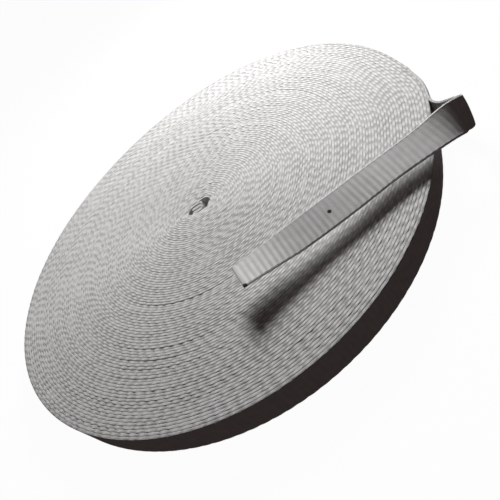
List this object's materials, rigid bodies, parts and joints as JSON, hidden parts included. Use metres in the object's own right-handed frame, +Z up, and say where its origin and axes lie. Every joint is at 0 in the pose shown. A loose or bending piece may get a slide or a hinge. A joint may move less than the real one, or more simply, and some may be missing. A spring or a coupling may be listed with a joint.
{
  "type": "roll of polyester webbing",
  "caption": "Flat-wound roll of narrow white polyester webbing, lying on its side with its outer end laid back over the face.",
  "frame": {"origin": "on the surface the roll lies on, under the middle of its outline", "axes": "+Z up along the winding axis; +X towards the side where the loose end leaves the rim, +Y away from the loose end"},
  "size_m": [0.2018, 0.1964, 0.0214],
  "materials": {
    "webbing": "matt white woven polyester"
  },
  "bodies": {
    "root": {"roll": "webbing", "loose_end": "webbing"}
  },
  "joints": []
}
